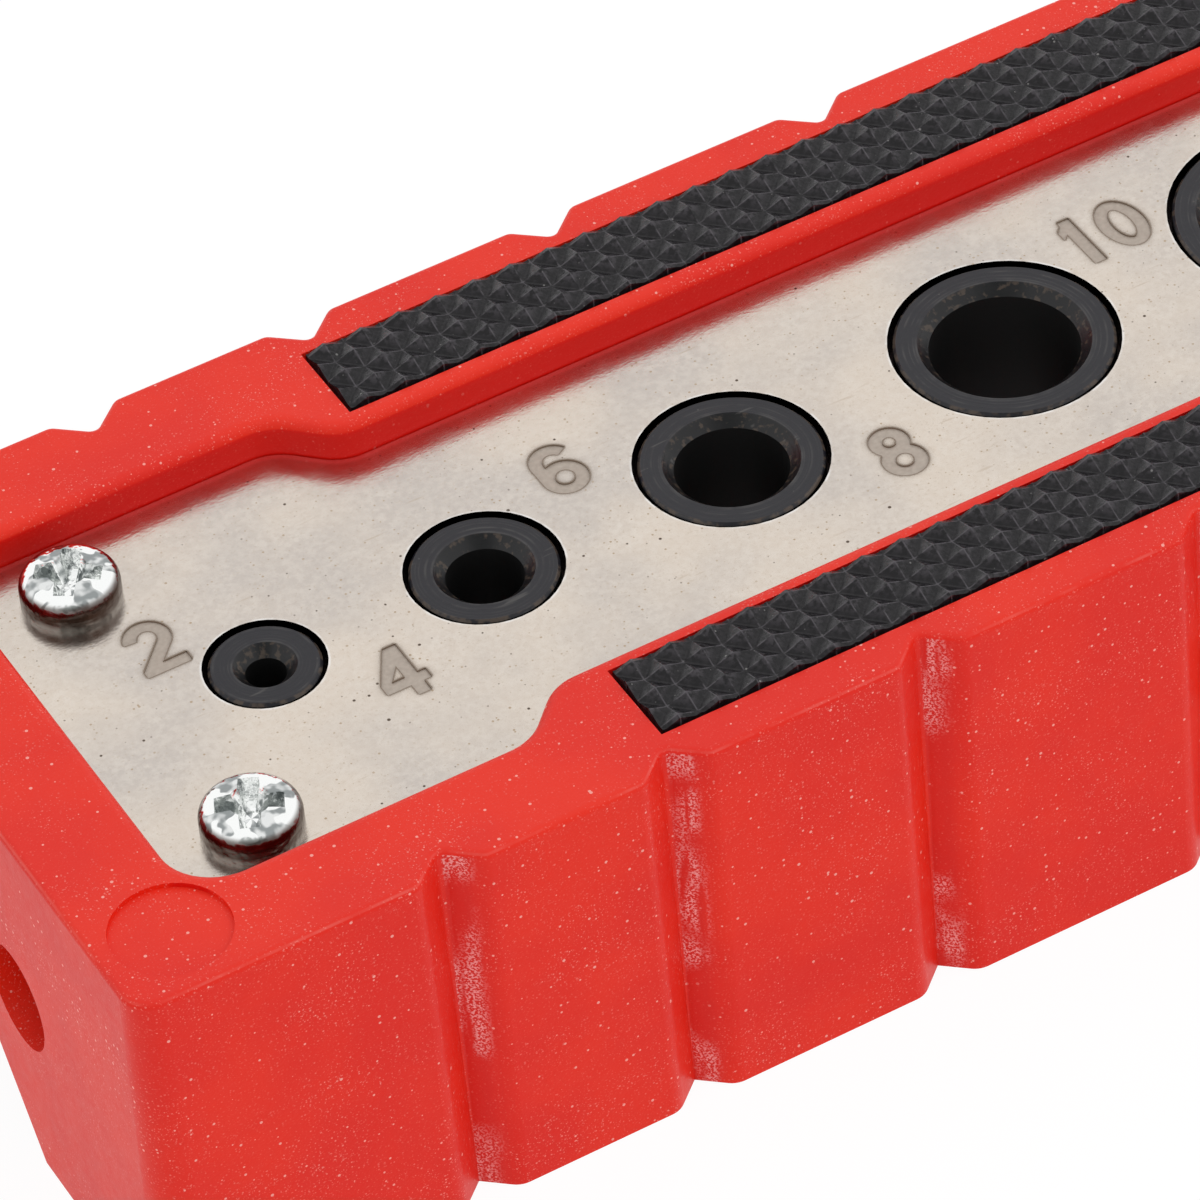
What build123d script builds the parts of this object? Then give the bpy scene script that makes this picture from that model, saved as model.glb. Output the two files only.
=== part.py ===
from build123d import *
import os
from math import radians, sin, sqrt, tan

# Drill guide: a moulded block that holds a row of drill bushes under a steel cover plate.
# Millimetres. X runs along the row of bushes towards the larger drills, Y across the block
# and Z up. The underside lies on z = 0, with the origin in its middle.

# Drill bushes
drill_sizes = (2.0, 4.0, 6.0, 8.0, 10.0, 12.0)
drill_clearance = 0.2
bush_wall = 2.0
bush_length = 12.0
bush_inset = 0.05
bush_lead_in = 0.6
bush_rim_chamfer = 0.15

# Cover plate
plate_thickness = 2.0
plate_hole_gap = 0.3
plate_web = 5.4
plate_end_margin = 8.2
plate_wide_width = 28.2
plate_narrow_width = 22.4
plate_waist_length = 71.4
plate_waist_angle = 45.0
plate_corner_radius = 3.0
plate_gap = 0.1

# Block
body_height = 24.0
body_width = 41.7
body_end_wall = 6.8
body_draft = 1.2
body_corner_radius = 2.2
body_edge_radius = 0.4
pocket_rim_height = 2.2
pocket_rim_radius = 0.7
bush_seat_gap = 0.02
exit_hole_clearance = 0.5

# Alignment notches in the long sides
notch_depth = 1.5
notch_flank_angle = 41.0
notch_shoulder_radius = 1.3

# Groove along the underside
groove_width = 11.6
groove_angle = 76.0

# Rod sockets in the end faces, with coned bottoms
socket_diameter = 6.1
socket_depth = 12.0
socket_cone_angle = 118.0
socket_spacing = 9.8
socket_height = 11.7

# Marks of the ejector pins near the corners
ejector_diameter = 6.4
ejector_inset = 4.2
ejector_depth = 0.3

# Cover plate screws
screw_shank_diameter = 2.9
screw_shank_length = 8.0
screw_head_diameter = 5.4
screw_head_height = 2.0
screw_head_side = 1.45
screw_shoulder_radius = 0.8
screw_recess_width = 1.2
screw_recess_span = 3.7
screw_recess_depth = 1.4
screw_recess_taper = 15.0
screw_recess_middle = 2.3
screw_recess_middle_taper = 25.0
screw_turns = (64.0, 55.0, 20.0, 80.0)
screw_end_inset = 5.4
screw_side_inset = 4.0
screw_hole_gap = 0.15
screw_pilot_gap = 0.05
screw_pilot_spare = 1.0

# Grip strips
strip_length = 64.2
strip_width = 5.1
strip_thickness = 1.0
strip_land = 1.0
strip_seat_depth = 0.6
strip_seat_gap = 0.2
strip_shift = 0.8
knurl_pitch = 2.3
knurl_depth = 0.38
knurl_floor = 0.12
knurl_crest = 0.1

# Etched size numbers; each gap lies between a number's middle and the plate hole after it
number_height = 4.0
number_width = 2.6
number_stroke = 0.75
number_depth = 0.1
number_advance = 2.6
number_from_axis = 4.4
number_gaps = (0.95, 3.2, 2.7, 3.1, 2.7, 2.7)
loop_share = 0.54
two_start_angle = 175.0
two_end_angle = -40.0
six_hook_angle = 30.0

# Share of a short wall that the fillets at its two ends may take, and the slack of selections
fillet_share = 0.95
match_slack = 0.001

# Heights
plate_top = body_height - pocket_rim_height
plate_bottom = plate_top - plate_thickness
bush_top = plate_top - bush_inset
bush_bottom = bush_top - bush_length
strip_bottom = body_height - strip_seat_depth

# The row of bushes, spaced by an even web between the plate holes
bush_radii = [size / 2 + bush_wall for size in drill_sizes]
hole_radii = [radius + plate_hole_gap for radius in bush_radii]
row_length = 2 * sum(hole_radii) + plate_web * (len(drill_sizes) - 1)
bush_places = []
row_end = -row_length / 2
for hole_radius in hole_radii:
    bush_places.append(row_end + hole_radius)
    row_end += 2 * hole_radius + plate_web

# Lengths and widths that follow from them
plate_length = row_length + 2 * plate_end_margin
body_length = plate_length + 2 * (plate_gap + body_end_wall)
draft_shift = body_height * tan(radians(body_draft))
ejector_x = body_length / 2 - draft_shift - ejector_inset
ejector_y = body_width / 2 - draft_shift - ejector_inset
screw_x = plate_length / 2 - screw_end_inset
screw_y = plate_wide_width / 2 - screw_side_inset
pilot_depth = screw_shank_length - plate_thickness + screw_pilot_spare
strip_y = plate_narrow_width / 2 + plate_gap + strip_land + strip_seat_gap + strip_width / 2
notch_half_width = notch_depth / tan(radians(notch_flank_angle))
groove_depth = groove_width / 2 / tan(radians(groove_angle / 2))
socket_radius = socket_diameter / 2
socket_wall_end = body_length / 2 - socket_depth
socket_tip = socket_wall_end - socket_radius / tan(radians(socket_cone_angle / 2))

# Places of the screws and ejector marks
screw_places = GridLocations(2 * screw_x, 2 * screw_y, 2, 2)
ejector_places = GridLocations(2 * ejector_x, 2 * ejector_y, 2, 2)

# Outline of the cover plate: wide ends, and a narrower waist reached by short slanted walls
waist_step = (plate_wide_width - plate_narrow_width) / 2
waist_run = waist_step / tan(radians(plate_waist_angle))
waist_wall = waist_step / sin(radians(plate_waist_angle))
waist_inner = plate_waist_length / 2 - waist_run / 2
waist_outer = plate_waist_length / 2 + waist_run / 2
largest_waist_radius = fillet_share * waist_wall / 2 / tan(radians(plate_waist_angle / 2))
waist_radius = min(plate_corner_radius, largest_waist_radius)
with BuildSketch() as plate_outline:
    Rectangle(plate_length, plate_narrow_width)
    with BuildLine():
        Polyline(
            (waist_inner, plate_narrow_width / 2),
            (waist_outer, plate_wide_width / 2),
            (plate_length / 2, plate_wide_width / 2),
            (plate_length / 2, -plate_wide_width / 2),
            (waist_outer, -plate_wide_width / 2),
            (waist_inner, -plate_narrow_width / 2),
            close=True,
        )
    make_face()
    mirror(about=Plane.YZ)
    corner_columns = plate_outline.vertices().group_by(Axis.X)
    fillet([corner for column in corner_columns[1:-1] for corner in column], radius=waist_radius)
    corner_columns = plate_outline.vertices().group_by(Axis.X)
    fillet(corner_columns[0] + corner_columns[-1], radius=plate_corner_radius)

# Block
with BuildPart() as body:
    with BuildSketch() as base:
        RectangleRounded(body_length, body_width, body_corner_radius)
        for side, turn in ((1, 0), (-1, 180)):
            with Locations(*[(place, side * body_width / 2) for place in bush_places]):
                Polygon(
                    (-notch_half_width, 0),
                    (0, -notch_depth),
                    (notch_half_width, 0),
                    align=None,
                    rotation=turn,
                    mode=Mode.SUBTRACT,
                )
        side_points = base.vertices().filter_by(lambda v: abs(v.Y) > body_width / 2 - match_slack)
        straight_reach = body_length / 2 - body_corner_radius - match_slack
        shoulders = side_points.filter_by(lambda v: abs(v.X) < straight_reach)
        fillet(shoulders, radius=notch_shoulder_radius)
    extrude(amount=body_height, taper=body_draft)
    top_face = body.faces().sort_by(Axis.Z)[-1]
    fillet(top_face.outer_wire().edges(), radius=body_edge_radius)

    # Pocket for the cover plate
    with BuildSketch(Plane.XY.offset(plate_bottom)):
        add(plate_outline.sketch)
        offset(amount=plate_gap)
    extrude(amount=body_height - plate_bottom, mode=Mode.SUBTRACT)
    rim_face = body.faces().sort_by(Axis.Z)[-1]
    fillet(rim_face.inner_wires()[0].edges(), radius=pocket_rim_radius)

    # Seats of the grip strips
    with BuildSketch(Plane.XY.offset(strip_bottom)):
        with Locations((strip_shift, -strip_y), (-strip_shift, strip_y)):
            Rectangle(strip_length + 2 * strip_seat_gap, strip_width + 2 * strip_seat_gap)
    extrude(amount=strip_seat_depth, mode=Mode.SUBTRACT)

    # Ejector marks
    with BuildSketch(Plane.XY.offset(body_height)):
        with Locations(*ejector_places):
            Circle(ejector_diameter / 2)
    extrude(amount=-ejector_depth, mode=Mode.SUBTRACT)

    # Groove along the underside
    with BuildSketch(Plane.YZ):
        Polygon((-groove_width / 2, 0), (0, groove_depth), (groove_width / 2, 0), align=None)
    extrude(amount=body_length, both=True, mode=Mode.SUBTRACT)

    # Stepped bore under each bush
    for place, size, radius in zip(bush_places, drill_sizes, bush_radii):
        with BuildSketch(Plane.XY.offset(bush_bottom)):
            with Locations((place, 0)):
                Circle(radius + bush_seat_gap)
        extrude(amount=plate_bottom - bush_bottom, mode=Mode.SUBTRACT)
        with BuildSketch():
            with Locations((place, 0)):
                Circle(size / 2 + exit_hole_clearance)
        extrude(amount=bush_bottom, mode=Mode.SUBTRACT)

    # Pilot holes of the plate screws
    with BuildSketch(Plane.XY.offset(plate_bottom)):
        with Locations(*screw_places):
            Circle(screw_shank_diameter / 2 + screw_pilot_gap)
    extrude(amount=-pilot_depth, mode=Mode.SUBTRACT)

    # Rod sockets in both end faces
    for side in (1, -1):
        for y in (-socket_spacing / 2, socket_spacing / 2):
            with BuildSketch(Plane.XZ.offset(-y)):
                Polygon(
                    (side * body_length / 2, socket_height),
                    (side * body_length / 2, socket_height + socket_radius),
                    (side * socket_wall_end, socket_height + socket_radius),
                    (side * socket_tip, socket_height),
                    align=None,
                )
            revolve(axis=Axis((0, y, socket_height), (1, 0, 0)), mode=Mode.SUBTRACT)
body.part.label = "body"

# Digits, drawn as strokes about the middle of each; all ten, so that any drill size can be marked
reach_x = (number_width - number_stroke) / 2
reach_y = (number_height - number_stroke) / 2
half_stroke = number_stroke / 2
lower_loop = loop_share * reach_y
upper_loop = reach_y - lower_loop
lower_loop_y = lower_loop - reach_y
upper_loop_y = reach_y - upper_loop
bowl_y = reach_x - reach_y
stem_x = reach_x / 2
bar_y = -reach_y / 2
window_height = number_height / 3


def stacked_loops():
    """A larger ring below and a smaller ring above that share one stroke"""
    with Locations((0, upper_loop_y)):
        Circle(upper_loop + half_stroke)
    with Locations((0, lower_loop_y)):
        Circle(lower_loop + half_stroke)
        Circle(lower_loop - half_stroke, mode=Mode.SUBTRACT)
    with Locations((0, upper_loop_y)):
        Circle(upper_loop - half_stroke, mode=Mode.SUBTRACT)


def bowl():
    """The ring that stands on the foot of a number"""
    with Locations((0, bowl_y)):
        Circle(reach_x + half_stroke)
        Circle(reach_x - half_stroke, mode=Mode.SUBTRACT)


def open_left(low, high):
    """Opens a ring on its left side between two heights"""
    with Locations((-number_width / 2, (low + high) / 2)):
        Rectangle(number_width, high - low, mode=Mode.SUBTRACT)


digits = {}
with BuildSketch() as digits["0"]:
    Ellipse(reach_x + half_stroke, reach_y + half_stroke)
    Ellipse(reach_x - half_stroke, reach_y - half_stroke, mode=Mode.SUBTRACT)
with BuildSketch() as digits["1"]:
    Rectangle(number_stroke, number_height)
    Polygon(
        (0, number_height / 2),
        (-number_stroke, number_height / 2 - number_stroke),
        (-number_stroke, number_height / 2 - 2 * number_stroke),
        (0, number_height / 2 - number_stroke),
        align=None,
    )
with BuildSketch() as digits["2"]:
    with BuildLine():
        bow = CenterArc((0, -bowl_y), reach_x, two_start_angle, two_end_angle - two_start_angle)
        Polyline(bow @ 1, (-reach_x, -reach_y), (reach_x + half_stroke, -reach_y))
    trace(line_width=number_stroke)
    Rectangle(number_width, number_height, mode=Mode.INTERSECT)
with BuildSketch() as digits["3"]:
    stacked_loops()
    open_left(lower_loop_y, upper_loop_y)
with BuildSketch() as digits["4"]:
    with Locations((stem_x, 0)):
        Rectangle(number_stroke, number_height)
    with Locations((0, bar_y)):
        Rectangle(number_width, number_stroke)
    Polygon(
        (-number_width / 2, bar_y + half_stroke),
        (stem_x - half_stroke, number_height / 2),
        (stem_x, number_height / 2),
        (stem_x, bar_y),
        (-number_width / 2, bar_y),
        align=None,
    )
    Polygon(
        (stem_x - half_stroke, bar_y + half_stroke),
        (stem_x - half_stroke, bar_y + window_height),
        (stem_x - half_stroke - number_stroke, bar_y + half_stroke),
        align=None,
        mode=Mode.SUBTRACT,
    )
with BuildSketch() as digits["5"]:
    bowl()
    open_left(bowl_y, bowl_y + reach_x)
    with Locations((0, reach_y)):
        Rectangle(number_width, number_stroke)
    with Locations((-reach_x, (reach_y + bowl_y + reach_x) / 2)):
        Rectangle(number_stroke, reach_y - bowl_y - reach_x + number_stroke)
    with Locations((-reach_x / 2, bowl_y + reach_x)):
        Rectangle(reach_x + half_stroke, number_stroke)
with BuildSketch() as digits["6"]:
    with BuildLine():
        hook = CenterArc((0, -bowl_y), reach_x, six_hook_angle, 180 - six_hook_angle)
        Line(hook @ 1, (-reach_x, bowl_y))
    trace(line_width=number_stroke)
    bowl()
with BuildSketch() as digits["7"]:
    with Locations((0, reach_y)):
        Rectangle(number_width, number_stroke)
    Polygon(
        (reach_x - half_stroke, reach_y),
        (reach_x + half_stroke, reach_y),
        (half_stroke - stem_x, -number_height / 2),
        (-half_stroke - stem_x, -number_height / 2),
        align=None,
    )
with BuildSketch() as digits["8"]:
    stacked_loops()
with BuildSketch() as digits["9"]:
    add(digits["6"].sketch, rotation=180)

# Cover plate
with BuildPart() as guide_plate:
    with BuildSketch(Plane.XY.offset(plate_bottom)):
        add(plate_outline.sketch)
        for place, radius in zip(bush_places, hole_radii):
            with Locations((place, 0)):
                Circle(radius, mode=Mode.SUBTRACT)
        with Locations(*screw_places):
            Circle(screw_shank_diameter / 2 + screw_hole_gap, mode=Mode.SUBTRACT)
    extrude(amount=plate_thickness)

    # Etched size numbers in whole millimetres, on alternate sides of the row
    with BuildSketch(Plane.XY.offset(plate_top)):
        side = 1
        for place, radius, size, gap in zip(bush_places, hole_radii, drill_sizes, number_gaps):
            text = f"{size:.0f}"
            first_x = place - radius - gap - (len(text) - 1) / 2 * number_advance
            for column, character in enumerate(text):
                with Locations((first_x + column * number_advance, side * number_from_axis)):
                    add(digits[character].sketch)
            side = -side
    extrude(amount=-number_depth, mode=Mode.SUBTRACT)
guide_plate.part.label = "guide_plate"

# Drill bushes, numbered from the smallest
drill_bushes = []
for number, (place, size, radius) in enumerate(zip(bush_places, drill_sizes, bush_radii), start=1):
    with BuildPart() as drill_bush:
        with BuildSketch(Plane.XY.offset(bush_bottom)):
            with Locations((place, 0)):
                Circle(radius)
                Circle((size + drill_clearance) / 2, mode=Mode.SUBTRACT)
        extrude(amount=bush_length)
        rings = drill_bush.edges().filter_by(GeomType.CIRCLE).sort_by(SortBy.RADIUS)
        chamfer(rings[:2], length=bush_lead_in)
        chamfer(rings[2:], length=bush_rim_chamfer)
    drill_bush.part.label = f"drill_bush_{number}"
    drill_bushes.append(drill_bush)

# Cover plate screws
head_radius = screw_head_diameter / 2
shank_radius = screw_shank_diameter / 2
plate_screws = []
for number, (location, turn) in enumerate(zip(screw_places, screw_turns), start=1):
    x = location.position.X
    y = location.position.Y
    with BuildPart() as plate_screw:
        with BuildSketch(Plane.XZ.offset(-y)) as plate_screw_profile:
            with BuildLine():
                crown = (x, plate_top + screw_head_height)
                side_top = (x + head_radius, plate_top + screw_head_side)
                Polyline(
                    crown,
                    (x, plate_top - screw_shank_length),
                    (x + shank_radius, plate_top - screw_shank_length),
                    (x + shank_radius, plate_top),
                    (x + head_radius, plate_top),
                    side_top,
                )
                TangentArc(crown, side_top, tangent=(1, 0))
            make_face()
            shoulder = plate_screw_profile.vertices().sort_by_distance(side_top)[0]
            fillet(shoulder, radius=screw_shoulder_radius)
        revolve(axis=Axis((x, y, 0), (0, 0, 1)))
        with BuildSketch(Plane.XY.offset(plate_top + screw_head_height)):
            with Locations((x, y)):
                Rectangle(screw_recess_span, screw_recess_width, rotation=turn)
                Rectangle(screw_recess_width, screw_recess_span, rotation=turn)
        extrude(amount=-screw_recess_depth, taper=screw_recess_taper, mode=Mode.SUBTRACT)
        with BuildSketch(Plane.XY.offset(plate_top + screw_head_height)):
            with Locations((x, y)):
                Circle(screw_recess_middle / 2)
        extrude(amount=-screw_recess_depth, taper=screw_recess_middle_taper, mode=Mode.SUBTRACT)
    plate_screw.part.label = f"plate_screw_{number}"
    plate_screws.append(plate_screw)

# Grip strips, knurled by two crossing sets of slanting grooves
groove_pitch = knurl_pitch / sqrt(2)
groove_half_top = (groove_pitch - knurl_crest) / 2
groove_count = 2 * int((strip_length + strip_width) / sqrt(2) / groove_pitch / 2) + 3
knurl_middle = (strip_shift, -strip_y, strip_bottom + strip_thickness)
with BuildPart() as grip_strip_near:
    with BuildSketch(Plane.XY.offset(strip_bottom)):
        with Locations((strip_shift, -strip_y)):
            Rectangle(strip_length, strip_width)
    extrude(amount=strip_thickness)
    for slant in (1, -1):
        with BuildSketch(Plane(origin=knurl_middle, x_dir=(-slant, 1, 0), z_dir=(1, slant, 0))):
            with GridLocations(groove_pitch, groove_pitch, groove_count, 1):
                Polygon(
                    (-groove_half_top, 0),
                    (-knurl_floor / 2, -knurl_depth),
                    (knurl_floor / 2, -knurl_depth),
                    (groove_half_top, 0),
                    align=None,
                )
        extrude(amount=strip_length, both=True, mode=Mode.SUBTRACT)
grip_strip_near.part.label = "grip_strip_near"

# The far strip is the near one turned half round the middle of the block
with BuildPart() as grip_strip_far:
    add(grip_strip_near.part.rotate(Axis.Z, 180))
grip_strip_far.part.label = "grip_strip_far"

# One file for each piece
os.makedirs("parts", exist_ok=True)
for piece in [body, guide_plate, *drill_bushes, *plate_screws, grip_strip_near, grip_strip_far]:
    export_step(piece.part, f"parts/{piece.part.label}.step")
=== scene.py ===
import bpy
from math import cos, pi, radians, tan
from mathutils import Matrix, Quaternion, Vector


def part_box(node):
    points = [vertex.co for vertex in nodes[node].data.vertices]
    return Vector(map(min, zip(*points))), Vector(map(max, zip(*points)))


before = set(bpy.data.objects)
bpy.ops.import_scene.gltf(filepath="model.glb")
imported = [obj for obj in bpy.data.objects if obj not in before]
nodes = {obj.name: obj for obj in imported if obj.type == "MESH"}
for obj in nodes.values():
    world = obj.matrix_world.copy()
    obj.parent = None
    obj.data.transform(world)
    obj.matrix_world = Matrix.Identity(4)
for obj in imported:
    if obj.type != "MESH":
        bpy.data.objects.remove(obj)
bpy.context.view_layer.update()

# Places are in metres in the part's own frame. Patterns are measured in millimetres: MM is one in metres.
MM = 0.001

# Camera, at the photograph's viewing angle
camera_place = Vector((-155.311, -261.326, 293.985)) * MM
camera_target = Vector((-28.177, -5.495, 21.8)) * MM
camera_roll = radians(-5.03)
camera_lens = 228.31
camera_sensor = 36.0
camera_clip_start = 0.01

# Light
white = (1.0, 1.0, 1.0, 1.0)
sky_colour = (0.8, 0.8, 0.8, 1.0)
sky_left = 0.98
sky_right = 1.10
lamp_place = Vector((0.3, -0.25, 0.5))
lamp_size = 0.4
lamp_power = 0.5
dim_side = (camera_place - camera_target).normalized()
dim_side_inner = cos(radians(12))
dim_side_outer = cos(radians(32))
dim_side_colour = (0.4, 0.42, 0.41, 1.0)
backdrop_share = 0.9
backdrop_glow = 1.04
floor_colour = (0.85, 0.85, 0.85, 1.0)
floor_half = 1.5
floor_level = -0.00005

# Colours, linear
red_bright = (0.86, 0.022, 0.005, 1.0)
red_deep = (0.80, 0.014, 0.004, 1.0)
red_speck_and_highlight = (1.0, 0.42, 0.36, 1.0)
red_flank_shade = (0.72, 0.010, 0.004, 1.0)
red_pocket_shade = (0.72, 0.003, 0.002, 1.0)
red_scuff = (1.0, 0.46, 0.45, 1.0)
red_under_plate_shade = (0.03, 0.008, 0.006, 1.0)
steel_warm = (0.70, 0.615, 0.53, 1.0)
steel_cool = (0.575, 0.52, 0.475, 1.0)
steel_pale = (0.78, 0.72, 0.65, 1.0)
steel_tan = (0.46, 0.36, 0.26, 1.0)
steel_pit = (0.11, 0.08, 0.06, 1.0)
etch_fill = (0.36, 0.30, 0.25, 1.0)
etch_line = (0.23, 0.175, 0.13, 1.0)
black_oxide = (0.0105, 0.010, 0.0145, 1.0)
black_lead_in_shade = (0.006, 0.006, 0.007, 1.0)
black_bore_shade = (0.003, 0.003, 0.003, 1.0)
black_worn_and_highlight = (0.10, 0.095, 0.09, 1.0)
black_bronze = (0.14, 0.10, 0.07, 1.0)
chrome = (0.95, 0.96, 0.95, 1.0)
chrome_dim_reflection = (0.30, 0.32, 0.32, 1.0)
chrome_dark_reflection = (0.07, 0.04, 0.03, 1.0)
rubber = (0.0052, 0.0044, 0.0056, 1.0)
rubber_worn_and_lit = (0.066, 0.059, 0.067, 1.0)
rubber_ridge_highlight = (0.104, 0.095, 0.106, 1.0)
rubber_dust = (0.3, 0.29, 0.28, 1.0)

# How soft the rim of a speck is, as a share of its radius
speck_softness = 0.3


class Tree:
    """The nodes of a material or of the sky"""

    def __init__(self, tree):
        self.tree = tree
        self.tree.nodes.clear()

    def node(self, kind, **settings):
        made = self.tree.nodes.new(kind)
        for key, value in settings.items():
            setattr(made, key, value)
        return made

    def put(self, socket, value):
        """Links a socket to another one, or sets its value"""
        if isinstance(value, bpy.types.NodeSocket):
            self.tree.links.new(value, socket)
        else:
            socket.default_value = value

    def fill(self, sockets, *values):
        """Links or sets several sockets in turn"""
        for socket, value in zip(sockets, values):
            self.put(socket, value)

    def math(self, operation, *values):
        made = self.node("ShaderNodeMath", operation=operation)
        self.fill(made.inputs, *values)
        return made.outputs["Value"]

    def split(self, vector):
        """A vector's x, y and z"""
        made = self.node("ShaderNodeSeparateXYZ")
        self.put(made.inputs[0], vector)
        return made.outputs

    def along(self, vector, direction):
        """How far a vector reaches in a direction"""
        made = self.node("ShaderNodeVectorMath", operation="DOT_PRODUCT")
        self.fill(made.inputs, vector, direction)
        return made.outputs["Value"]

    def step(self, value, start, end):
        """0 up to start and 1 from end on, with a smooth rise between them"""
        made = self.node("ShaderNodeMapRange", interpolation_type="SMOOTHSTEP")
        for socket, given in zip(("Value", "From Min", "From Max"), (value, start, end)):
            self.put(made.inputs[socket], given)
        return made.outputs["Result"]

    def between(self, value, low, high):
        """Maps 0 to 1 onto low to high"""
        made = self.node("ShaderNodeMapRange")
        for socket, given in zip(("Value", "To Min", "To Max"), (value, low, high)):
            self.put(made.inputs[socket], given)
        return made.outputs["Result"]

    def blend(self, share, first, second):
        """Mixes two colours"""
        made = self.node("ShaderNodeMix", data_type="RGBA")
        for index, value in ((0, share), (6, first), (7, second)):
            self.put(made.inputs[index], value)
        return made.outputs[2]

    def blend_shaders(self, share, first, second):
        made = self.node("ShaderNodeMixShader")
        self.fill(made.inputs, share, first, second)
        return made.outputs["Shader"]

    def seen(self):
        """1 where the camera or a reflection looks, and 0 for the light that falls on things"""
        path = self.node("ShaderNodeLightPath").outputs
        share = self.math("MAXIMUM", path["Is Camera Ray"], path["Is Glossy Ray"])
        return self.math("MAXIMUM", share, path["Is Transmission Ray"])


class Shader(Tree):
    """A material whose patterns are measured in millimetres"""

    def __init__(self, name):
        self.material = bpy.data.materials.new(name)
        self.material.use_nodes = True
        super().__init__(self.material.node_tree)
        self.bsdf = self.node("ShaderNodeBsdfPrincipled")
        self.put(self.node("ShaderNodeOutputMaterial").inputs["Surface"], self.bsdf.outputs["BSDF"])
        place = self.node("ShaderNodeTexCoord").outputs["Object"]
        self.place = self.vector("MULTIPLY", place, (1 / MM, 1 / MM, 1 / MM))
        self.x, self.y, self.z = self.split(self.place)
        normal = self.node("ShaderNodeNewGeometry").outputs["Normal"]
        self.normal_x, _, self.normal_z = self.split(normal)

    def set(self, **values):
        """Fills the surface's sockets; an underscore stands for a space"""
        for key, value in values.items():
            self.put(self.bsdf.inputs[key.replace("_", " ")], value)

    def vector(self, operation, *vectors):
        made = self.node("ShaderNodeVectorMath", operation=operation)
        self.fill(made.inputs, *vectors)
        return made.outputs["Vector"]

    def both(self, first, *others):
        """Multiplies masks; a plain number weakens them"""
        for other in others:
            first = self.math("MULTIPLY", first, other)
        return first

    def either(self, first, *others):
        """The stronger of several masks"""
        for other in others:
            first = self.math("MAXIMUM", first, other)
        return first

    def without(self, mask):
        """Everywhere that a mask is not"""
        return self.math("SUBTRACT", 1.0, mask)

    def upright(self, most, least):
        """Walls: 0 where the surface looks up or down by at least most, 1 where it does by at most least"""
        return self.step(self.math("ABSOLUTE", self.normal_z), most, least)

    def radius(self, low, high):
        """Distance from the upright axis through the middle of a box"""
        flat = self.vector("MULTIPLY", self.place, (1.0, 1.0, 0.0))
        made = self.node("ShaderNodeVectorMath", operation="DISTANCE")
        self.fill(made.inputs, flat, ((low.x + high.x) / 2, (low.y + high.y) / 2, 0.0))
        return made.outputs["Value"]

    def noise(self, size, detail=2.0, stretch=(1.0, 1.0, 1.0), shift=0.0):
        """Noise whose features are about as large as size"""
        made = self.node("ShaderNodeTexNoise")
        stretched = self.vector("MULTIPLY", self.place, stretch)
        self.put(made.inputs["Vector"], self.vector("ADD", stretched, (shift, shift, shift)))
        made.inputs["Scale"].default_value = 1 / size
        made.inputs["Detail"].default_value = detail
        return made.outputs["Fac"]

    def clouds(self, size, start, end, **pattern):
        """Patches of noise: none where it is weaker than start, full where it is stronger than end"""
        return self.step(self.noise(size, **pattern), start, end)

    def specks(self, spacing, radius, share):
        """Round spots in a random share of cells"""
        made = self.node("ShaderNodeTexVoronoi")
        self.put(made.inputs["Vector"], self.place)
        made.inputs["Scale"].default_value = 1 / spacing
        chance = self.split(made.outputs["Color"])[0]
        chosen = self.math("SUBTRACT", chance, 1 - share)
        size = self.math("MULTIPLY", chosen, radius / spacing / share)
        beyond = self.math("SUBTRACT", made.outputs["Distance"], size)
        return self.step(beyond, 0.0, -speck_softness * radius / spacing)

    def bump(self, height):
        """Tilts the surface by a height in millimetres"""
        made = self.node("ShaderNodeBump")
        self.put(made.inputs["Height"], height)
        made.inputs["Distance"].default_value = MM
        made.inputs["Strength"].default_value = 1.0
        self.put(self.bsdf.inputs["Normal"], made.outputs["Normal"])


def in_millimetres(node):
    """A node's lowest and highest corner, in millimetres"""
    low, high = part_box(node)
    return low / MM, high / MM


def dress(name, shader):
    """Gives a node the shader's material"""
    mesh = nodes[name].data
    mesh.materials.clear()
    mesh.materials.append(shader.material)


# Places that the patterns follow: the body
_, body_high = in_millimetres("body")
body_draft = radians(1.2)
notch_depth = 1.5
scuffed_from = 21.5
scuffed_fully_from = 23.0
row_half_length = 51.0
shaded_half_width = 9.0
shaded_bottom = 9.0

# The cover plate
plate_low, plate_high = in_millimetres("guide_plate")
etch_depth = 0.1
etch_line_width = 0.45
numbers_half_width = 8.5
hole_gap = 0.3

# The bushes
bush_boxes = [in_millimetres(f"drill_bush_{number}") for number in range(1, 7)]
drill_step = 2.0
drill_clearance = 0.2
bush_lead_in = 0.6
ring_size = 0.2

# The screws
dark_band_top = plate_high.z + 1.3
dark_band_bottom = plate_high.z + 0.3
dark_band_inner_radius = 2.1
reflection_wedges = 4

# The strips
knurl_pitch = 2.3
knurl_depth = 0.38


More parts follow.
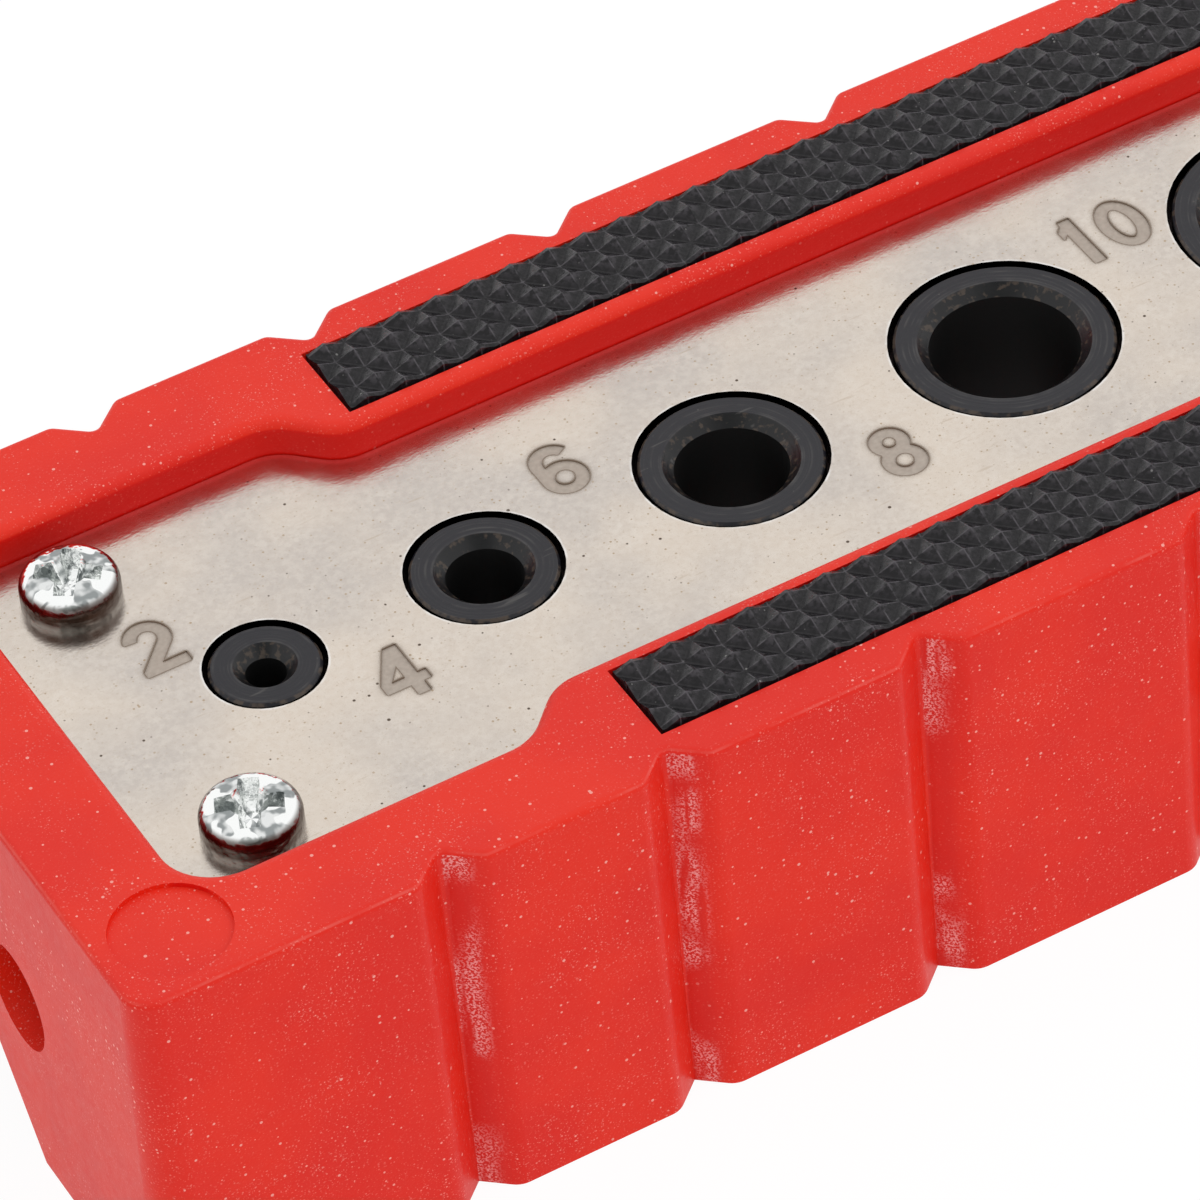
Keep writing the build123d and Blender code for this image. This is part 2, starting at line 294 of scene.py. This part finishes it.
def red_plastic():
    """Moulded plastic with pale specks, scuffed notches and a rubbed top edge, plus painted light and
    shade: paler faces that look up, a highlight on the top edge, and shade on the notch flanks, on the
    pocket walls and under the plate round the bushes
    """
    shader = Shader("red_plastic")
    off_middle_x = shader.math("ABSOLUTE", shader.x)
    off_middle_y = shader.math("ABSOLUTE", shader.y)
    in_row = shader.step(off_middle_x, row_half_length, row_half_length - 0.5)
    colour = shader.blend(shader.clouds(size=9.0, start=0.35, end=0.65, detail=3.0), red_deep, red_bright)

    # Pale specks, thicker in some places than in others, and a little painted light on the faces that look
    # up, which makes them paler
    crowding = shader.between(shader.clouds(size=5.0, start=0.4, end=0.7, shift=40.0), 0.35, 1.0)
    grain = shader.clouds(size=0.11, start=0.6, end=0.74, shift=17.0)
    fine = shader.either(grain, shader.specks(spacing=0.18, radius=0.075, share=0.5))
    fine = shader.both(fine, crowding, 0.45)
    coarse = shader.both(shader.specks(spacing=0.42, radius=0.11, share=0.35), 0.85)
    top_face_light = shader.both(shader.step(shader.normal_z, 0.5, 0.95), 0.03)
    colour = shader.blend(shader.either(fine, coarse, top_face_light), colour, red_speck_and_highlight)

    # Notch flanks that face the smaller bushes get painted shade, a deeper red
    inset = shader.math("MULTIPLY", shader.z, tan(body_draft))
    depth = shader.math("SUBTRACT", body_high.y, shader.math("ADD", off_middle_y, inset))
    past_lip = shader.step(depth, 0.2 * notch_depth, 0.6 * notch_depth)
    before_bed = shader.step(depth, 2 * notch_depth, 1.5 * notch_depth)
    facing = shader.step(shader.normal_x, -0.1, -0.4)
    upright = shader.upright(0.4, 0.2)
    flank = shader.both(past_lip, before_bed, in_row, upright, facing)
    colour = shader.blend(shader.both(flank, 0.6), colour, red_flank_shade)

    # Scuffs on them, at their top and in patches further down
    streaks = shader.clouds(size=0.6, start=0.3, end=0.5, detail=1.0, stretch=(1.0, 1.0, 0.1), shift=7.0)
    at_top = shader.step(shader.z, scuffed_from, scuffed_fully_from)
    lengths = shader.either(shader.clouds(size=6.0, start=0.4, end=0.52, shift=11.0), at_top)
    grains = shader.both(shader.clouds(size=0.12, start=0.46, end=0.58), 0.8)
    sparkles = shader.specks(spacing=0.25, radius=0.09, share=0.5)
    scuffs = shader.both(flank, streaks, lengths, shader.either(grains, sparkles))
    colour = shader.blend(scuffs, colour, red_scuff)

    # Painted shade: the walls of the plate's pocket are a deeper red, as the pocket lies in shade
    inside_x = shader.step(off_middle_x, plate_high.x + 1.0, plate_high.x + 0.5)
    inside_y = shader.step(off_middle_y, plate_high.y + 1.0, plate_high.y + 0.5)
    above_plate = shader.step(shader.z, plate_high.z - 0.5, plate_high.z)
    pocket = shader.both(inside_x, inside_y, above_plate, upright)
    colour = shader.blend(shader.both(pocket, 0.8), colour, red_pocket_shade)

    # The outer top edge is a little paler, partly rubbed wear and partly a painted highlight on its
    # rounding
    rounded = shader.both(shader.step(shader.normal_z, 0.5, 0.65), shader.step(shader.normal_z, 0.9, 0.75))
    outer_y = shader.step(off_middle_y, body_high.y - 2.3, body_high.y - 2.1)
    outer_x = shader.step(off_middle_x, body_high.x - 1.5, body_high.x - 1.3)
    top = shader.step(shader.z, body_high.z - 0.7, body_high.z - 0.4)
    broken = shader.clouds(size=2.5, start=0.35, end=0.7, detail=4.0)
    rubbed_and_highlight = shader.both(rounded, shader.either(outer_y, outer_x), top, broken)
    colour = shader.blend(shader.both(rubbed_and_highlight, 0.16), colour, red_speck_and_highlight)

    # Painted shade, almost black, on the body under the cover plate, seen through the gaps round the bushes
    above_bottom = shader.step(shader.z, shaded_bottom, shaded_bottom + 0.5)
    under_plate = shader.step(shader.z, plate_low.z + 0.3, plate_low.z)
    across = shader.step(off_middle_y, shaded_half_width, shaded_half_width - 0.5)
    colour = shader.blend(shader.both(above_bottom, under_plate, in_row, across), colour, red_under_plate_shade)

    shader.set(Base_Color=colour, Specular_IOR_Level=0.27)
    shader.set(Roughness=shader.between(shader.noise(size=0.7, detail=3.0), 0.34, 0.52))
    shader.bump(shader.both(shader.noise(size=0.16), 0.014))
    return shader


def distance_to_holes(shader):
    """Distance from the rim of the plate's nearest hole"""
    nearest = None
    for low, high in bush_boxes:
        hole = (high.x - low.x) / 2 + hole_gap
        distance = shader.math("SUBTRACT", shader.radius(low, high), hole)
        nearest = distance if nearest is None else shader.math("MINIMUM", nearest, distance)
    return nearest


def plate_steel():
    """Dull sheet steel with stains, pits, scratches and darkened etched numbers"""
    shader = Shader("plate_steel")
    stains = shader.clouds(size=11.0, start=0.35, end=0.65, detail=3.0)
    colour = shader.blend(stains, steel_cool, steel_warm)
    cloudy = shader.clouds(size=0.35, start=0.3, end=0.7, detail=4.0, shift=5.0)
    cloudy = shader.both(cloudy, shader.noise(size=2.5, detail=3.0, shift=8.0), 0.7)
    colour = shader.blend(cloudy, colour, steel_pale)

    # Tan dots, grain and a few scratches
    grain = shader.both(shader.clouds(size=0.14, start=0.56, end=0.8, shift=13.0), 0.35)
    lengthwise = (0.12, 1.0, 1.0)
    scratches = shader.clouds(size=0.35, start=0.72, end=0.8, detail=1.0, stretch=lengthwise, shift=3.0)
    dots = shader.specks(spacing=0.3, radius=0.09, share=0.5)
    dots = shader.both(dots, shader.clouds(size=4.0, start=0.2, end=0.6))
    colour = shader.blend(shader.either(grain, shader.both(scratches, 0.35), dots), colour, steel_tan)

    # Dark pits, large and small
    large = shader.specks(spacing=0.8, radius=0.12, share=0.3)
    small = shader.both(shader.specks(spacing=0.4, radius=0.07, share=0.3), 0.6)
    colour = shader.blend(shader.either(large, small), colour, steel_pit)

    # Rims of the holes: a painted highlight on top, and painted shade, almost black, on the walls inside
    from_hole = distance_to_holes(shader)
    rim = shader.step(from_hole, 0.16, 0.04)
    rim_highlight = shader.both(rim, shader.clouds(size=0.9, start=0.35, end=0.65, detail=3.0), 0.5)
    colour = shader.blend(rim_highlight, colour, white)
    colour = shader.blend(shader.both(rim, shader.upright(0.5, 0.3)), colour, black_bore_shade)

    # Etched numbers: the steel that lies just below the plate's top
    below_top = shader.step(shader.z, plate_high.z - 0.3 * etch_depth, plate_high.z - 0.8 * etch_depth)
    too_deep = shader.step(shader.z, plate_high.z - 3 * etch_depth, plate_high.z - 4 * etch_depth)
    etched = shader.both(below_top, shader.without(shader.either(rim, too_deep)))
    mottled = shader.both(shader.noise(size=0.25, detail=3.0, shift=30.0), 0.6)
    colour = shader.blend(etched, colour, shader.blend(mottled, etch_fill, steel_warm))

    # A dark line round the numbers, and a painted highlight, a bright line, along the plate's own outline
    wall = shader.node("ShaderNodeAmbientOcclusion", samples=4, inside=True, only_local=True)
    wall.inputs["Distance"].default_value = etch_line_width * MM
    border = shader.step(wall.outputs["AO"], 1.0, 0.75)
    within_x = shader.step(shader.math("ABSOLUTE", shader.x), plate_high.x - 0.5, plate_high.x - 1.0)
    within_y = shader.step(shader.math("ABSOLUTE", shader.y), numbers_half_width, numbers_half_width - 0.3)
    within = shader.both(within_x, within_y)
    line = shader.both(border, within, shader.step(from_hole, etch_line_width, etch_line_width + 0.1))
    colour = shader.blend(line, colour, etch_line)
    # Painted highlight: a bright line along the plate's outline
    colour = shader.blend(shader.both(border, shader.without(within), 0.6), colour, white)

    shader.set(Base_Color=colour, Metallic=shader.between(shader.either(etched, line), 1.0, 0.2))
    rough = shader.between(shader.noise(size=1.2, detail=4.0), 0.12, 0.3)
    shader.set(Roughness=shader.math("MAXIMUM", rough, shader.both(etched, 0.5)))
    shader.bump(shader.both(shader.noise(size=0.18, detail=3.0, stretch=(0.5, 1.0, 1.0)), 0.008))
    return shader


def black_steel(number, low, high):
    """Blackened turned steel, with rings round the bush's axis, a worn rim that is partly a painted
    highlight, a painted highlight where the lead-in starts, and painted shade on the lead-in and in the
    bore
    """
    shader = Shader(f"black_steel_{number}")
    radius = shader.radius(low, high)
    outer = (high.x - low.x) / 2
    bore_radius = (number * drill_step + drill_clearance) / 2
    inner = bore_radius + bush_lead_in

    # Turned rings, and a painted highlight, a bright line, where the lead-in starts
    turned = shader.node("ShaderNodeTexNoise", noise_dimensions="1D")
    shader.put(turned.inputs["W"], radius)
    turned.inputs["Scale"].default_value = 1 / ring_size
    turned.inputs["Detail"].default_value = 3.0
    rings = turned.outputs["Fac"]
    line = shader.step(radius, inner - 0.08, inner)
    line = shader.both(line, shader.step(radius, inner + 0.16, inner + 0.06))
    marks_and_highlight = shader.either(shader.both(shader.step(rings, 0.48, 0.68), 0.35), shader.both(line, 0.4))
    marks_and_highlight = shader.both(marks_and_highlight, shader.clouds(size=1.2, start=0.35, end=0.7, detail=3.0))
    colour = shader.blend(marks_and_highlight, black_oxide, black_worn_and_highlight)

    # Painted shade makes the lead-in of the bore darker, with a little bronze showing
    slanted = shader.both(shader.step(shader.normal_z, 0.3, 0.5), shader.step(shader.normal_z, 0.97, 0.9))
    lead_in = shader.both(slanted, shader.step(radius, inner + 0.1, inner - 0.1))
    colour = shader.blend(lead_in, colour, black_lead_in_shade)
    bronze = shader.both(lead_in, shader.clouds(size=0.4, start=0.54, end=0.66, detail=4.0), 0.4)
    colour = shader.blend(bronze, colour, black_bronze)

    # Worn rim, partly a painted highlight, and scratches and nicks
    rim = shader.step(radius, outer - 0.2, outer - 0.1)
    rim = shader.both(rim, shader.clouds(size=0.5, start=0.42, end=0.6, detail=3.0), 0.55)
    colour = shader.blend(rim, colour, black_bronze)
    scratches = shader.clouds(size=0.45, start=0.68, end=0.76, stretch=(0.15, 1.0, 1.0), shift=9.0)
    nicks = shader.specks(spacing=0.5, radius=0.07, share=0.3)
    colour = shader.blend(shader.both(shader.either(scratches, nicks), 0.5), colour, black_worn_and_highlight)
    # Painted shade: the bore's walls are near black
    bore = shader.upright(0.3, 0.15)
    colour = shader.blend(bore, colour, black_bore_shade)

    shader.set(Base_Color=colour, Specular_IOR_Level=0.4)
    rough = shader.between(shader.noise(size=0.6, detail=3.0), 0.22, 0.4)
    shader.set(Roughness=shader.math("MAXIMUM", rough, shader.both(bore, 0.6)))
    shader.bump(shader.math("ADD", shader.both(rings, 0.01), shader.both(shader.noise(size=0.3), 0.008)))
    return shader


def bright_steel(number, low, high):
    """A plated screw with painted reflections: lighter and darker wedges, a darker rim and a dark band
    round the side of the head
    """
    shader = Shader(f"bright_steel_{number}")
    radius = shader.radius(low, high)
    outer = (high.x - low.x) / 2

    # Painted reflections: wedges round the axis, lighter and darker in turn
    middle = (low + high) / 2
    from_middle_x = shader.math("SUBTRACT", shader.x, middle.x)
    from_middle_y = shader.math("SUBTRACT", shader.y, middle.y)
    turn = shader.math("ARCTAN2", from_middle_y, from_middle_x)
    wedges = shader.math("MULTIPLY", turn, reflection_wedges / (2 * pi))
    wedges = shader.math("ADD", wedges, shader.noise(size=0.9, detail=1.0))
    dark_wedge = shader.step(shader.math("PINGPONG", wedges, 0.5), 0.24, 0.3)
    tone = shader.between(shader.clouds(size=0.6, start=0.35, end=0.6, detail=1.0, shift=6.0), 0.25, 1.0)
    colour = shader.blend(shader.both(dark_wedge, tone), chrome, chrome_dim_reflection)

    # Painted dark reflections on the rim and, in layers, round the side of the head
    rim = shader.step(radius, outer - 0.4, outer - 0.15)
    colour = shader.blend(shader.both(rim, 0.7), colour, chrome_dark_reflection)
    outside = shader.step(radius, dark_band_inner_radius, dark_band_inner_radius + 0.1)
    below_top = shader.step(shader.z, dark_band_top + 0.25, dark_band_top - 0.15)
    above_bottom = shader.step(shader.z, dark_band_bottom - 0.2, dark_band_bottom + 0.2)
    side = shader.both(outside, below_top, above_bottom)
    layers = shader.clouds(size=0.3, start=0.35, end=0.6, stretch=(0.15, 0.15, 1.0))
    colour = shader.blend(shader.both(side, shader.between(layers, 0.65, 1.0)), colour, chrome_dark_reflection)

    shader.set(Base_Color=colour, Metallic=1.0)
    rough = shader.between(shader.noise(size=0.5), 0.05, 0.15)
    shader.set(Roughness=shader.math("ADD", rough, shader.both(shader.either(side, rim), 0.12)))
    shader.bump(shader.both(shader.noise(size=0.45, detail=1.0), 0.07))
    return shader


def strip_rubber(side, low, high):
    """Black rubber with crests that are partly worn and partly lit by painted light, painted highlights
    along the ridges, painted shade in the valleys and a little dust
    """
    shader = Shader(f"strip_rubber_{side}")
    # Crests are paler and valleys darker: partly wear, partly painted light on the crests and painted shade
    # in the valleys
    crest = shader.step(shader.z, high.z - knurl_depth, high.z)
    worn_and_lit = shader.clouds(size=0.3, start=0.4, end=0.62, detail=4.0)
    worn_and_lit = shader.both(worn_and_lit, shader.between(crest, 0.15, 1.0), 0.75)
    colour = shader.blend(worn_and_lit, rubber, rubber_worn_and_lit)

    # Painted highlights along the ridges, which run where a point is as far from one set of slanting
    # grooves as from the other
    from_middle = shader.vector("SUBTRACT", shader.place, (low + high) / 2)
    from_grooves = []
    for slant in (1.0, -1.0):
        across = shader.along(from_middle, (1 / knurl_pitch, slant / knurl_pitch, 0.0))
        from_grooves.append(shader.math("PINGPONG", across, 0.5))
    off_ridge = shader.math("ABSOLUTE", shader.math("SUBTRACT", *from_grooves))
    ridge_highlight = shader.step(off_ridge, 0.05, 0.015)
    ridge_highlight = shader.both(ridge_highlight, shader.clouds(size=0.5, start=0.35, end=0.6, detail=3.0), 0.7)
    colour = shader.blend(ridge_highlight, colour, rubber_ridge_highlight)

    # Dust, large and small
    large = shader.specks(spacing=0.5, radius=0.09, share=0.3)
    small = shader.both(shader.specks(spacing=0.3, radius=0.05, share=0.3), 0.5)
    colour = shader.blend(shader.both(shader.either(large, small), 0.6), colour, rubber_dust)

    shader.set(Base_Color=colour, Specular_IOR_Level=0.27)
    rough = shader.both(shader.noise(size=0.4, detail=3.0), 0.2)
    shader.set(Roughness=shader.math("ADD", rough, shader.between(crest, 0.22, 0.02)))
    shader.bump(shader.both(shader.noise(size=0.22, detail=4.0), 0.034))
    return shader


dress("body", red_plastic())
dress("guide_plate", plate_steel())
for number, (low, high) in enumerate(bush_boxes, start=1):
    dress(f"drill_bush_{number}", black_steel(number, low, high))
for number in range(1, 5):
    name = f"plate_screw_{number}"
    dress(name, bright_steel(number, *in_millimetres(name)))
for side in ("near", "far"):
    name = f"grip_strip_{side}"
    dress(name, strip_rubber(side, *in_millimetres(name)))


def make_floor():
    """A white floor that keeps a little of the shadow"""
    corner_signs = [(-1, -1), (1, -1), (1, 1), (-1, 1)]
    corners = [(x * floor_half, y * floor_half, floor_level) for x, y in corner_signs]
    mesh = bpy.data.meshes.new("floor")
    mesh.from_pydata(corners, [], [(0, 1, 2, 3)])
    floor = bpy.data.objects.new("floor", mesh)
    bpy.context.collection.objects.link(floor)
    material = bpy.data.materials.new("floor")
    material.use_nodes = True
    mesh.materials.append(material)
    tree = Tree(material.node_tree)
    matte = tree.node("ShaderNodeBsdfDiffuse")
    matte.inputs["Color"].default_value = floor_colour
    glow = tree.node("ShaderNodeEmission")
    glow.inputs["Strength"].default_value = backdrop_glow
    share = tree.math("MULTIPLY", tree.seen(), backdrop_share)
    surface = tree.blend_shaders(share, matte.outputs["BSDF"], glow.outputs["Emission"])
    tree.put(tree.node("ShaderNodeOutputMaterial").inputs["Surface"], surface)


def make_sky():
    """Nearly white all round, with a dimmer side behind the viewer that bright metal mirrors"""
    world = bpy.data.worlds.new("studio")
    bpy.context.scene.world = world
    world.use_nodes = True
    tree = Tree(world.node_tree)
    direction = tree.node("ShaderNodeTexCoord").outputs["Generated"]

    # What a reflection shows
    dimmed = tree.step(tree.along(direction, dim_side), dim_side_outer, dim_side_inner)
    mirrored = tree.node("ShaderNodeBackground")
    tree.put(mirrored.inputs["Color"], tree.blend(dimmed, white, dim_side_colour))

    # What lights the object, a little stronger from the right
    rightward = tree.math("MULTIPLY_ADD", tree.split(direction)["X"], 0.5, 0.5)
    lit = tree.node("ShaderNodeBackground")
    tree.put(lit.inputs["Color"], sky_colour)
    tree.put(lit.inputs["Strength"], tree.between(rightward, sky_left, sky_right))

    sky = tree.blend_shaders(tree.seen(), lit.outputs["Background"], mirrored.outputs["Background"])
    tree.put(tree.node("ShaderNodeOutputWorld").inputs["Surface"], sky)


def make_lamp():
    """A large soft lamp high up on the near side, towards the right"""
    light = bpy.data.lights.new("lamp", "AREA")
    light.shape = "DISK"
    light.size = lamp_size
    light.energy = lamp_power
    lamp = bpy.data.objects.new("lamp", light)
    bpy.context.collection.objects.link(lamp)
    lamp.location = lamp_place
    lamp.rotation_mode = "QUATERNION"
    lamp.rotation_quaternion = (-lamp_place).to_track_quat("-Z", "Y")
    lamp.visible_glossy = False
    lamp.visible_camera = False


def make_camera():
    """The photograph's view"""
    camera = bpy.data.objects.new("camera", bpy.data.cameras.new("camera"))
    bpy.context.collection.objects.link(camera)
    camera.data.lens = camera_lens
    camera.data.sensor_width = camera_sensor
    camera.data.clip_start = camera_clip_start
    camera.location = camera_place
    level = (camera_target - camera_place).to_track_quat("-Z", "Y")
    camera.rotation_mode = "QUATERNION"
    camera.rotation_quaternion = level @ Quaternion((0, 0, 1), camera_roll)
    bpy.context.scene.camera = camera


make_floor()
make_sky()
make_lamp()
make_camera()
bpy.context.scene.view_settings.view_transform = "Standard"
